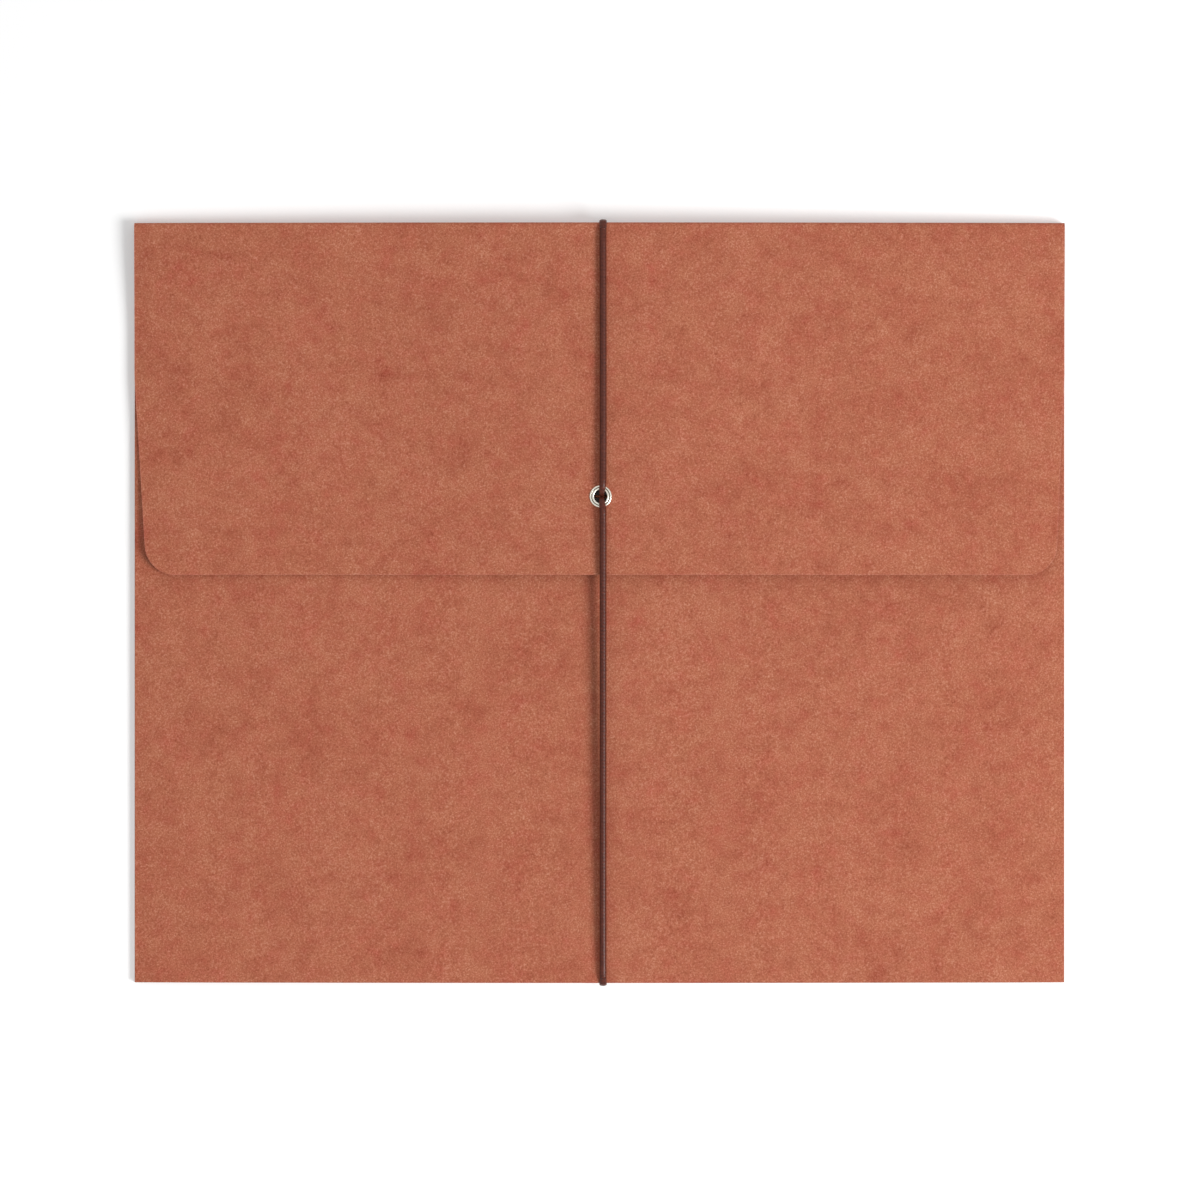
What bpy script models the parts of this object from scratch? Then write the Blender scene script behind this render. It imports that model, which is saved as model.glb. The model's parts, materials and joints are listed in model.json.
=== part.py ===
"""Expanding file wallet, closed and lying on its back.

+X is its width, +Y runs up to the top fold and +Z is its front. Two boards are joined round three sides
by a pleated gusset. The rear board folds over at the top into a spine and a flap, which an elastic loop
holds shut. The floor is z = 0, under the elastic that runs along the back.
"""

import math

import bmesh
import bpy
from mathutils import Vector

# Wallet and boards
WALLET_WIDTH = 0.311
WALLET_HEIGHT = 0.254
BOARD = 0.0007
FRONT_SETBACK = 0.025

# Flap
FLAP_DEPTH = 0.1177
FLAP_STRAIGHT_SIDE = 0.052
FLAP_END_INSET = 0.0035
FLAP_CORNER_RADIUS = 0.0095

# Gusset
GUSSET_SHEET = 0.0003
GUSSET_LEAF = 0.0254
GLUE_FLANGE = 0.012
FOLD_INSET = 0.0008
MITRE_GAP = 0.0006
PLEAT_GAP = 0.0003

# Eyelet in the flap, and the washer that it is set over
EYELET_X = 0.0004
EYELET_FROM_FOLD = 0.0915
EYELET_HOLE_RADIUS = 0.0022
EYELET_WALL = 0.00035
EYELET_RIM_RADIUS = 0.0036
EYELET_RIM = 0.0005
EYELET_ROLL_RADIUS = 0.0033
EYELET_ROLL = 0.0003
WASHER_RADIUS = 0.0042
WASHER = 0.0003
SET_GAP = 0.0001

# Elastic loop, with a metal barb on each end behind the eyelet
CORD_DIAMETER = 0.0022
CORD_FLAT = 0.00022
CORD_X = 0.0012
CORD_NECK_RADIUS = 0.00085
CORD_NECK_OFFSET = 0.00098
PRESS_LINE_WIDTH = 0.006
PRESS_LINE_DEPTH = 0.0001
BACK_RUN_SETBACK = 0.003
BARB_LENGTH = 0.009
BARB_WIDTH = 0.002
BARB = 0.0006
BARB_OFFSET = 0.0013
BARB_BEVEL = 0.0002

# Gap between pieces that lie on each other or meet end to end
SEAT_GAP = 0.0003

# Facets of round pieces
CORD_SIDE_STEPS = 2
CORD_STEP = 2.5 * CORD_DIAMETER
RING_STEPS = 32
CORNER_STEPS = 8

# Colours as linear RGB, with roughness and metallic
BOARD_LOOK = ((0.47, 0.14, 0.08), 0.85, 0.0)
GUSSET_LOOK = ((0.40, 0.12, 0.07), 0.8, 0.0)
NICKEL_LOOK = ((0.72, 0.70, 0.66), 0.25, 1.0)
STEEL_LOOK = ((0.02, 0.012, 0.01), 0.45, 0.0)
CORD_LOOK = ((0.09, 0.035, 0.03), 0.7, 0.0)

# Heights of the layers, from the floor up
back_low = CORD_DIAMETER - CORD_FLAT + SEAT_GAP
back_high = back_low + BOARD
rear_flange_low = back_high + SEAT_GAP
rear_leaf_low = rear_flange_low + GUSSET_SHEET + SEAT_GAP
front_leaf_low = rear_leaf_low + GUSSET_SHEET + PLEAT_GAP
front_flange_low = front_leaf_low + GUSSET_SHEET + SEAT_GAP
front_low = front_flange_low + GUSSET_SHEET + SEAT_GAP
front_high = front_low + BOARD
barb_low = front_high + SEAT_GAP
eyelet_low = barb_low + BARB + SEAT_GAP
washer_low = eyelet_low + EYELET_ROLL + SET_GAP
flap_low = washer_low + WASHER + SET_GAP
flap_high = flap_low + BOARD

# Edges of the wallet, and the fold axes
right = WALLET_WIDTH / 2
top = WALLET_HEIGHT / 2
bottom = -top
front_top = top - FRONT_SETBACK
fold_x = right - FOLD_INSET
fold_y = bottom + FOLD_INSET
rear_fold_z = rear_leaf_low - SEAT_GAP / 2
front_fold_z = front_flange_low - SEAT_GAP / 2
crease_z = (rear_fold_z + front_fold_z) / 2
spine_low = back_high + SEAT_GAP
spine_high = flap_low - SEAT_GAP
spine_fold_z = back_high + SEAT_GAP / 2
flap_fold_z = flap_low - SEAT_GAP / 2
eyelet_y = top - EYELET_FROM_FOLD
flap_hole_radius = EYELET_HOLE_RADIUS + EYELET_WALL + SET_GAP

# Centre lines of the elastic
cord_radius = CORD_DIAMETER / 2
cord_back_z = cord_radius - CORD_FLAT
cord_front_z = flap_high + SEAT_GAP + cord_radius
cord_reach = SEAT_GAP + cord_radius
back_run_end = top - BACK_RUN_SETBACK


def start_scene():
    """Empty the scene and add the wallet's collection."""
    for old in list(bpy.data.objects):
        bpy.data.objects.remove(old, do_unlink=True)
    collection = bpy.data.collections.new("expanding_file_wallet")
    bpy.context.scene.collection.children.link(collection)
    return collection


wallet = start_scene()


def finish(name, data, look, axis=None):
    """Add a node's object, with its own material, under the empty of the fold that it turns on."""
    colour, roughness, metallic = look
    material = bpy.data.materials.new(name)
    material.use_nodes = True
    shader = material.node_tree.nodes["Principled BSDF"]
    shader.inputs["Base Color"].default_value = (*colour, 1.0)
    shader.inputs["Roughness"].default_value = roughness
    shader.inputs["Metallic"].default_value = metallic
    data.materials.clear()
    data.materials.append(material)
    node = bpy.data.objects.new(name, data)
    wallet.objects.link(node)
    if axis is not None:
        node.parent = axis
        node.matrix_parent_inverse = axis.matrix_world.inverted()
    return node


def fold_axis(name, place, parent=None):
    """Add an empty on a fold line; the pieces beyond that fold are its children."""
    empty = bpy.data.objects.new(name, None)
    empty.empty_display_size = FOLD_INSET
    wallet.objects.link(empty)
    empty.location = place
    if parent is not None:
        empty.parent = parent
        empty.matrix_parent_inverse = parent.matrix_world.inverted()
    bpy.context.view_layer.update()
    return empty


def sheet(name, outlines, low, thickness, look, axis=None):
    """Make a flat piece from its outline, and any holes in it, as a filled and extruded 2D curve."""
    curve = bpy.data.curves.new(name, "CURVE")
    curve.dimensions = "2D"
    curve.fill_mode = "BOTH"
    curve.extrude = thickness / 2
    for outline in outlines:
        spline = curve.splines.new("POLY")
        spline.points.add(len(outline) - 1)
        spline.use_cyclic_u = True
        for point, (x, y) in zip(spline.points, outline):
            point.co = (x, y, 0.0, 1.0)
    flat = bpy.data.objects.new(name + "_outline", curve)
    wallet.objects.link(flat)
    flat.location.z = low + thickness / 2
    return finish(name, mesh_of_curve(flat), look, axis)


def mesh_of_curve(source):
    """Turn a curve object into a closed mesh in world space, and remove the curve."""
    bpy.context.view_layer.update()
    mesh = bpy.data.meshes.new_from_object(source.evaluated_get(bpy.context.evaluated_depsgraph_get()))
    mesh.transform(source.matrix_world)
    bpy.data.objects.remove(source, do_unlink=True)
    work = bmesh.new()
    work.from_mesh(mesh)
    bmesh.ops.remove_doubles(work, verts=work.verts, dist=1e-6)
    bmesh.ops.recalc_face_normals(work, faces=work.faces)
    work.to_mesh(mesh)
    work.free()
    return mesh


def circle(x, y, radius, steps):
    """Points round a circle."""
    angles = [2 * math.pi * k / steps for k in range(steps)]
    return [(x + radius * math.cos(a), y + radius * math.sin(a)) for a in angles]


def ring(name, profile, look, axis):
    """Turn a closed profile of (radius, height) points round the eyelet's centre line."""
    mesh = bpy.data.meshes.new(name)
    edges = [(k, (k + 1) % len(profile)) for k in range(len(profile))]
    mesh.from_pydata([(r, 0.0, z) for r, z in profile], edges, [])
    node = finish(name, mesh, look)
    node.location = (EYELET_X, eyelet_y, 0.0)
    bpy.context.view_layer.update()
    node.parent = axis
    node.matrix_parent_inverse = axis.matrix_world.inverted()
    screw = node.modifiers.new("turn", "SCREW")
    screw.axis = "Z"
    screw.steps = RING_STEPS
    screw.render_steps = RING_STEPS
    screw.use_merge_vertices = True
    screw.merge_threshold = 0.00001
    return node


def smooth_route(route):
    """Points on a centripetal Catmull-Rom curve through a cord's (x, y, z, radius) points."""
    knots = [Vector(p) for p in route]
    knots = [2 * knots[0] - knots[1]] + knots + [2 * knots[-1] - knots[-2]]
    points = []
    for a, b, c, d in zip(knots, knots[1:], knots[2:], knots[3:]):
        t1 = (b - a).length ** 0.5
        t2 = t1 + (c - b).length ** 0.5
        t3 = t2 + (d - c).length ** 0.5
        count = max(2, round((c - b).length / CORD_STEP))
        for k in range(count):
            t = t1 + (t2 - t1) * k / count
            ab = a * ((t1 - t) / t1) + b * (t / t1)
            bc = b * ((t2 - t) / (t2 - t1)) + c * ((t - t1) / (t2 - t1))
            cd = c * ((t3 - t) / (t3 - t2)) + d * ((t - t2) / (t3 - t2))
            near = ab * ((t2 - t) / t2) + bc * (t / t2)
            far = bc * ((t3 - t) / (t3 - t1)) + cd * ((t - t1) / (t3 - t1))
            points.append(near * ((t2 - t) / (t2 - t1)) + far * ((t - t1) / (t2 - t1)))
    points.append(knots[-2])
    return points


def cord(name, route, look, axis=None):
    """Make a run of the elastic as a round tube, pressed flat where it lies on the floor."""
    curve = bpy.data.curves.new(name, "CURVE")
    curve.dimensions = "3D"
    curve.bevel_depth = cord_radius
    curve.bevel_resolution = CORD_SIDE_STEPS
    curve.use_fill_caps = True
    points = smooth_route(route)
    spline = curve.splines.new("POLY")
    spline.points.add(len(points) - 1)
    for point, place in zip(spline.points, points):
        point.co = (place[0], place[1], place[2], 1.0)
        point.radius = place[3] / cord_radius
    tube = bpy.data.objects.new(name + "_route", curve)
    wallet.objects.link(tube)
    mesh = mesh_of_curve(tube)
    work = bmesh.new()
    work.from_mesh(mesh)
    everything = work.verts[:] + work.edges[:] + work.faces[:]
    cut = bmesh.ops.bisect_plane(
        work, geom=everything, plane_co=(0, 0, 0), plane_no=(0, 0, 1), clear_inner=True, dist=1e-7
    )
    rim = [part for part in cut["geom_cut"] if isinstance(part, bmesh.types.BMEdge)]
    if rim:
        bmesh.ops.holes_fill(work, edges=rim)
    bmesh.ops.triangulate(work, faces=work.faces)
    bmesh.ops.recalc_face_normals(work, faces=work.faces)
    work.to_mesh(mesh)
    work.free()
    mesh.shade_smooth()
    mesh.set_sharp_from_angle(angle=math.radians(50))
    return finish(name, mesh, look, axis)


def box(name, low, high, look, axis=None):
    """Make a rectangular piece between two corners."""
    work = bmesh.new()
    bmesh.ops.create_cube(work, size=1.0)
    bmesh.ops.scale(work, vec=[b - a for a, b in zip(low, high)], verts=work.verts)
    bmesh.ops.translate(work, vec=[(a + b) / 2 for a, b in zip(low, high)], verts=work.verts)
    mesh = bpy.data.meshes.new(name)
    work.to_mesh(mesh)
    work.free()
    return finish(name, mesh, look, axis)


def press_line(panel):
    """Press the shallow line into the back panel that the taut elastic leaves along its underside."""
    work = bmesh.new()
    work.from_mesh(panel.data)
    for share in (-0.5, -0.25, 0.25, 0.5):
        everything = work.verts[:] + work.edges[:] + work.faces[:]
        place = (CORD_X + share * PRESS_LINE_WIDTH, 0, 0)
        bmesh.ops.bisect_plane(work, geom=everything, plane_co=place, plane_no=(1, 0, 0), dist=1e-7)
    for vert in work.verts:
        if abs(vert.co.x - CORD_X) < 0.3 * PRESS_LINE_WIDTH and vert.co.z < back_low + BOARD / 2:
            vert.co.z += PRESS_LINE_DEPTH
    work.to_mesh(panel.data)
    work.free()


def flap_outline():
    """The flap seen from above: square at the fold, tapered sides, and an arc round each free corner."""
    end_y = top - FLAP_DEPTH
    side_end_y = top - FLAP_STRAIGHT_SIDE
    end_x = right - FLAP_END_INSET
    slope = math.atan2(right - end_x, side_end_y - end_y)
    corner = Vector((end_x, end_y))
    reach = FLAP_CORNER_RADIUS * math.tan((math.pi / 2 - slope) / 2)
    centre = corner + Vector((-reach, FLAP_CORNER_RADIUS))
    half = [(right, top), (right, side_end_y)]
    for k in range(CORNER_STEPS + 1):
        turn = -slope - (math.pi / 2 - slope) * k / CORNER_STEPS
        half.append(tuple(centre + FLAP_CORNER_RADIUS * Vector((math.cos(turn), math.sin(turn)))))
    return [(-x, y) for x, y in half] + half[::-1]


def side_outline(sign, width):
    """A gusset facet on the left (-1) or right (+1): from the fold inwards, mitred at the bottom corner."""
    start_y = fold_y + MITRE_GAP / 2
    return [
        (sign * fold_x, start_y),
        (sign * fold_x, front_top),
        (sign * (fold_x - width), front_top),
        (sign * (fold_x - width), start_y + width),
    ]


def bottom_outline(width):
    """A gusset facet along the bottom: from the fold inwards, mitred at both ends."""
    end_x = fold_x - MITRE_GAP / 2
    inner_x = end_x - width
    inner_y = fold_y + width
    return [(-end_x, fold_y), (end_x, fold_y), (inner_x, inner_y), (-inner_x, inner_y)]


def boards():
    """The back panel, the front panel on the bottom gusset, and the spine and flap on their folds."""
    press_line(box("back_panel", (-right, bottom, back_low), (right, top, back_high), BOARD_LOOK))
    front_corner = (right, front_top, front_high)
    box("front_panel", (-right, bottom, front_low), front_corner, BOARD_LOOK, front_fold)
    spine_corner = (right, top, spine_high)
    box("top_spine", (-right, top - BOARD, spine_low), spine_corner, BOARD_LOOK, spine_fold)
    hole = circle(EYELET_X, eyelet_y, flap_hole_radius, RING_STEPS)
    sheet("flap_panel", [flap_outline(), hole], flap_low, BOARD, BOARD_LOOK, flap_fold)


def gusset_side(side, outline, rear_axis, crease_axis):
    """One side of the gusset: two glue flanges on the panels and two leaves folded in between them."""
    layers = (
        ("rear_flange", GLUE_FLANGE, rear_flange_low, None),
        ("rear_leaf", GUSSET_LEAF, rear_leaf_low, rear_axis),
        ("front_leaf", GUSSET_LEAF, front_leaf_low, crease_axis),
        ("front_flange", GLUE_FLANGE, front_flange_low, front_fold),
    )
    for layer, width, low, axis in layers:
        sheet(f"{side}_{layer}", [outline(width)], low, GUSSET_SHEET, GUSSET_LOOK, axis)


def eyelet_set():
    """The eyelet, with its tail rolled over behind the flap, and the washer that it is set over."""
    barrel = EYELET_HOLE_RADIUS + EYELET_WALL
    rim_low = flap_high + SET_GAP
    rim_high = rim_low + EYELET_RIM
    soft = EYELET_WALL / 2
    eyelet = [
        (EYELET_HOLE_RADIUS + soft, rim_high),
        (EYELET_RIM_RADIUS - EYELET_RIM, rim_high),
        (EYELET_RIM_RADIUS - soft, rim_high - soft),
        (EYELET_RIM_RADIUS, rim_low),
        (barrel, rim_low),
        (barrel, eyelet_low + EYELET_ROLL),
        (EYELET_ROLL_RADIUS, eyelet_low + EYELET_ROLL),
        (EYELET_ROLL_RADIUS - soft, eyelet_low),
        (EYELET_HOLE_RADIUS + soft, eyelet_low),
        (EYELET_HOLE_RADIUS, eyelet_low + soft),
        (EYELET_HOLE_RADIUS, rim_high - soft),
    ]
    ring("eyelet", eyelet, NICKEL_LOOK, flap_fold)
    washer = [
        (flap_hole_radius, washer_low + WASHER),
        (WASHER_RADIUS, washer_low + WASHER),
        (WASHER_RADIUS, washer_low),
        (flap_hole_radius, washer_low),
    ]
    ring("eyelet_washer", washer, NICKEL_LOOK, flap_fold)


def strand_route(sign, edge_high, rest_y):
    """An elastic run from the back, over the top (+1) or bottom (-1) edge, and into the eyelet.

    It lies on the flap from the eyelet to rest_y, and goes straight to the wallet's edge from there.
    """
    edge = sign * top
    outside = edge + sign * cord_reach
    turn = cord_reach
    edge_z = edge_high + SEAT_GAP + cord_radius
    rim_z = flap_high + SET_GAP + EYELET_RIM + SEAT_GAP + cord_radius
    neck_y = eyelet_y + sign * CORD_NECK_OFFSET
    rim_y = eyelet_y + sign * EYELET_RIM_RADIUS
    clear_y = eyelet_y + sign * 3 * EYELET_RIM_RADIUS
    mouth_y = eyelet_y + sign * 0.75 * EYELET_HOLE_RADIUS
    return [
        (CORD_X, sign * (back_run_end + SEAT_GAP), cord_back_z, cord_radius),
        (CORD_X, edge - sign * turn / 2, cord_back_z, cord_radius),
        (CORD_X, outside - sign * turn / 4, cord_back_z + turn / 3, cord_radius),
        (CORD_X, outside, back_high, cord_radius),
        (CORD_X, outside, edge_high - BOARD, cord_radius),
        (CORD_X, outside - sign * turn / 4, edge_z - turn / 3, cord_radius),
        (CORD_X, edge - sign * turn / 2, edge_z, cord_radius),
        (CORD_X, edge - sign * 2 * turn, edge_z, cord_radius),
        (CORD_X, rest_y, cord_front_z, cord_radius),
        (CORD_X, clear_y, cord_front_z, cord_radius),
        (CORD_X, rim_y, rim_z, cord_radius),
        (EYELET_X, mouth_y, flap_high + cord_radius, CORD_NECK_RADIUS),
        (EYELET_X, neck_y, flap_high, CORD_NECK_RADIUS),
        (EYELET_X, neck_y, barb_low + BARB + SEAT_GAP, CORD_NECK_RADIUS),
    ]


def elastic():
    """The loop: a run along the back, one over each edge to the eyelet, and a barb on each end."""
    back_run = [(CORD_X, y, cord_back_z, cord_radius) for y in (-back_run_end, 0.0, back_run_end)]
    cord("elastic_back_run", back_run, CORD_LOOK)
    flap_edge = top - FLAP_DEPTH
    upper_rest = (top + eyelet_y) / 2
    lower_rest = flap_edge - CORD_DIAMETER
    cord("elastic_upper_run", strand_route(1, flap_high, upper_rest), CORD_LOOK, flap_fold)
    cord("elastic_lower_run", strand_route(-1, front_high, lower_rest), CORD_LOOK, flap_fold)
    for name, sign in (("upper_barb", 1), ("lower_barb", -1)):
        middle = eyelet_y + sign * BARB_OFFSET
        low = (EYELET_X - BARB_LENGTH / 2, middle - BARB_WIDTH / 2, barb_low)
        high = (EYELET_X + BARB_LENGTH / 2, middle + BARB_WIDTH / 2, barb_low + BARB)
        rounded = box(name, low, high, STEEL_LOOK, flap_fold).modifiers.new("rounded edges", "BEVEL")
        rounded.width = BARB_BEVEL
        rounded.segments = 2


spine_fold = fold_axis("spine_fold", (0.0, top, spine_fold_z))
flap_fold = fold_axis("flap_fold", (0.0, top, flap_fold_z), spine_fold)
bottom_rear_fold = fold_axis("bottom_rear_fold", (0.0, fold_y, rear_fold_z))
bottom_crease = fold_axis("bottom_crease", (0.0, fold_y + GUSSET_LEAF, crease_z), bottom_rear_fold)
front_fold = fold_axis("front_fold", (0.0, fold_y, front_fold_z), bottom_crease)

boards()
gusset_side("bottom", bottom_outline, bottom_rear_fold, bottom_crease)
for side, sign in (("left", -1), ("right", 1)):
    side_fold = fold_axis(f"{side}_rear_fold", (sign * fold_x, 0.0, rear_fold_z))
    side_crease = fold_axis(f"{side}_crease", (sign * (fold_x - GUSSET_LEAF), 0.0, crease_z), side_fold)
    gusset_side(side, lambda width, sign=sign: side_outline(sign, width), side_fold, side_crease)
eyelet_set()
elastic()

print("fold heights in mm", [round(1000 * z, 3) for z in (rear_fold_z, crease_z, front_fold_z)])
print("spine and flap folds in mm", [round(1000 * z, 3) for z in (spine_fold_z, flap_fold_z)])
print("pocket between the panels in mm", round(1000 * back_high, 3), round(1000 * front_low, 3))
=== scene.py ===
"""Looks of the expanding file wallet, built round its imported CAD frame."""

import json
import math

import bpy
import numpy as np
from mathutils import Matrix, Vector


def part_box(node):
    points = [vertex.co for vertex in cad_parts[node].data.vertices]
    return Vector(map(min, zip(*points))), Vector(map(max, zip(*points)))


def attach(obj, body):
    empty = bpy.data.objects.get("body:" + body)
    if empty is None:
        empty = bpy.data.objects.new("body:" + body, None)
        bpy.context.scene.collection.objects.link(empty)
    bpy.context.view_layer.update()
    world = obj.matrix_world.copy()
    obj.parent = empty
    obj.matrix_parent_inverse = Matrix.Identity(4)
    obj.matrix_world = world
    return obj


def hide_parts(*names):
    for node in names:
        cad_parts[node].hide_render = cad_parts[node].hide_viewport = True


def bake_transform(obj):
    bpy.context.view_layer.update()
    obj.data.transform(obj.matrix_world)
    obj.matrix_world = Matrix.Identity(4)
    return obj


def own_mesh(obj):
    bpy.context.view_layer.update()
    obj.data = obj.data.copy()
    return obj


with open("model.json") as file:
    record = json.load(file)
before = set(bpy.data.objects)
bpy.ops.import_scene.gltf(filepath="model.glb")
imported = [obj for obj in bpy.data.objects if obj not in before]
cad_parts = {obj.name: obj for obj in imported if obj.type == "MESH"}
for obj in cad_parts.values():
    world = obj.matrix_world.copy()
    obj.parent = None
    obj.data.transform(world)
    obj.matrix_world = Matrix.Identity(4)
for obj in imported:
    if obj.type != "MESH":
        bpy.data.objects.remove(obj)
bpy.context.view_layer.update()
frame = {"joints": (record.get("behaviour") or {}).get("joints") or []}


# Rear board: a sheet of red fibre board, pressed from dyed pulp and calendered to a mottled, matt skin.
# It is the back panel, scored along the top, where it turns up into the lower half of the spine.
# The elastic's back run lies under its middle, so the board sags to the table on both sides of it.
MM = 0.001


def node_box(name):
    """A CAD node's lowest and highest corner at rest, as arrays."""
    return np.array([list(corner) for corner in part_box(name)])


back_low, back_high = node_box("back_panel")
spine_low, spine_high = node_box("top_spine")
flap_low, flap_high = node_box("flap_panel")
front_low, front_high = node_box("front_panel")
cord_x = float(node_box("elastic_back_run")[:, 0].mean())

board = float(back_high[2] - back_low[2])
half_width = float(back_high[0])
fold_radius, fold_rows = 1.1 * MM, 9
cut_edge_bevel = 0.18 * MM
table_clearance = 0.12 * MM
sag_depth = float(back_low[2]) - table_clearance
sag_lane, sag_power, sag_limit = 6 * MM, 1.5, 1.02
squeeze_depth = 1.3 * MM
edge_roll, edge_roll_width = 0.7 * MM, 20 * MM
board_step = 2.6 * MM

# The pulp's pattern: how wide fibres and flecks are drawn, and the dyes' patches as (size in mm, weight).
fibre_width, fibre_stretch, fibre_turns = 0.5 * MM, 1.6, (20, 80, 140)
fleck_width = 0.4 * MM
brown_dye, red_dye = "#E2CBC9", "#FAD5DF"
brown_patches = ((20, 0.5), (10, 0.75), (4, 1.2))
red_patches = ((14, 0.9), (5, 1.1), (2.2, 0.75))

back_middle_z = float(back_low[2] + back_high[2]) / 2
flap_middle_z = float(flap_low[2] + flap_high[2]) / 2
spine_middle_y = float(spine_low[1] + spine_high[1]) / 2
spine_middle_z = (back_middle_z + flap_middle_z) / 2


def srgb(code):
    """Linear RGBA of an sRGB hex colour."""
    value = np.array([int(code[k : k + 2], 16) for k in (1, 3, 5)]) / 255
    linear = np.where(value <= 0.04045, value / 12.92, ((value + 0.055) / 1.055) ** 2.4)
    return (*linear.tolist(), 1.0)


def add_node(tree, kind, inputs=None, **settings):
    """Add a node with its settings; each input is a value, or the socket that it is linked from."""
    made = tree.nodes.new(kind)
    for name, value in settings.items():
        setattr(made, name, value)
    for name, value in (inputs or {}).items():
        if isinstance(value, bpy.types.NodeSocket):
            tree.links.new(value, made.inputs[name])
        else:
            made.inputs[name].default_value = value
    return made


def new_material(name):
    """A material with an empty node tree but for its output; returns it, its tree and that output."""
    material = bpy.data.materials.new(name)
    material.use_nodes = True
    tree = material.node_tree
    tree.nodes.clear()
    return material, tree, tree.nodes.new("ShaderNodeOutputMaterial")


def noise_sum(tree, place, layers):
    """Noises added up about 0.5.

    A layer is (size in metres, detail, weight, stretch along y, turn in degrees).
    """
    total = 0.5
    for size, detail, weight, stretch, turn in layers:
        mapping = add_node(
            tree,
            "ShaderNodeMapping",
            {"Vector": place, "Rotation": (0, 0, math.radians(turn)), "Scale": (1, stretch, 1)},
            vector_type="TEXTURE",
        )
        noise = add_node(
            tree,
            "ShaderNodeTexNoise",
            {"Vector": mapping.outputs["Vector"], "Scale": 1 / size, "Detail": detail, "Roughness": 0.55},
        )
        centred = add_node(
            tree,
            "ShaderNodeMath",
            {0: noise.outputs["Fac"], 1: weight, 2: -0.5 * weight},
            operation="MULTIPLY_ADD",
        )
        added = add_node(tree, "ShaderNodeMath", {0: centred.outputs[0], 1: total}, operation="ADD")
        total = added.outputs[0]
    return total


def fibre_sheet(name, dark, middle, light, cloud, grain, roughness):
    """Pressed fibre: a ramp of three colours for the pulp's clouds and fibres, times patches of two dyes.

    The fibres are some 0.03 mm thick; they are drawn 0.4 to 0.5 mm wide here, so that they show.
    Squaring the patches' noise makes the dark ones stand out from an even ground. Each dye's noise
    starts elsewhere, so that their patches don't fall together.
    """
    material, tree, output = new_material(name)
    place = add_node(tree, "ShaderNodeTexCoord").outputs["Object"]
    pulp = noise_sum(
        tree,
        place,
        (
            (34 * MM, 1.0, cloud * 0.08, 1, 0),
            (11 * MM, 2.0, cloud * 0.2, 1, 0),
            *((fibre_width, 0.0, grain * 0.45, fibre_stretch, turn) for turn in fibre_turns),
            (fleck_width, 0.0, grain * 0.85, 1, 0),
        ),
    )
    ramp = add_node(tree, "ShaderNodeValToRGB", {"Fac": pulp})
    ramp.color_ramp.elements.new(0.5)
    stops = ((0.0, dark), (0.5, middle), (1.0, light))
    for stop, (position, colour) in zip(ramp.color_ramp.elements, stops):
        stop.position = position
        stop.color = srgb(colour)
    colour = ramp.outputs["Color"]
    for dye, start, patch_sizes in (
        (brown_dye, (0.31, 0.17, 0.05), brown_patches),
        (red_dye, (0.12, 0.43, 0.09), red_patches),
    ):
        moved = add_node(tree, "ShaderNodeMapping", {"Vector": place, "Location": start})
        layers = [(size * MM, 0.0, cloud * weight, 1, 0) for size, weight in patch_sizes]
        patches = noise_sum(tree, moved.outputs["Vector"], layers)
        depth = add_node(tree, "ShaderNodeMath", {0: patches, 1: 2.0}, operation="POWER")
        taken = add_node(
            tree,
            "ShaderNodeMix",
            {0: depth.outputs[0], 6: srgb("#FFFFFF"), 7: srgb(dye)},
            data_type="RGBA",
        )
        dyed = add_node(
            tree,
            "ShaderNodeMix",
            {0: 1.0, 6: colour, 7: taken.outputs[2]},
            data_type="RGBA",
            blend_type="MULTIPLY",
        )
        colour = dyed.outputs[2]
    bump = add_node(tree, "ShaderNodeBump", {"Height": pulp, "Strength": 0.25, "Distance": 0.12 * MM})
    shader = add_node(
        tree,
        "ShaderNodeBsdfPrincipled",
        {
            "Base Color": colour,
            "Roughness": roughness,
            "IOR": 1.45,
            "Specular IOR Level": 0.25,
            "Normal": bump.outputs["Normal"],
        },
    )
    tree.links.new(shader.outputs["BSDF"], output.inputs["Surface"])
    return material


red_fibre_board = fibre_sheet("red fibre board", "#81351C", "#BC7254", "#E9AD91", 0.6, 0.54, 0.78)
cut_board_edge = fibre_sheet("cut edge of fibre board", "#5A2A1C", "#94543F", "#BF8569", 0.3, 0.6, 0.9)


def settle(x, y, z):
    """How far a point of the wallet droops: the back to the table, and the front a little further on to it.

    Over the elastic's lane nothing moves; from there the droop grows with the distance to the power 1.5.
    Along the two side edges the front rolls down some more, with the square of the distance.
    """
    lane_share = (np.abs(x - cord_x) - sag_lane) / (half_width - sag_lane)
    aside = np.clip(lane_share, 0.0, sag_limit) ** sag_power
    roll = np.clip((np.abs(x) - half_width + edge_roll_width) / edge_roll_width, 0.0, 1.0) ** 2
    forward = np.clip((z - back_high[2]) / (front_low[2] - back_high[2]), 0.0, 1.0)
    return aside * sag_depth + (aside * squeeze_depth + roll * edge_roll) * forward


def grid_faces(rows, columns, round_rows=False, round_columns=False):
    """Quads that join a grid of rows by columns points, also from its last row or column to its first."""
    index = np.arange(rows * columns).reshape(rows, columns)
    if round_rows:
        index = np.vstack([index, index[:1]])
    if round_columns:
        index = np.hstack([index, index[:, :1]])
    corners = [index[:-1, :-1], index[1:, :-1], index[1:, 1:], index[:-1, 1:]]
    return np.stack(corners, axis=-1).reshape(-1, 4)


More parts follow.
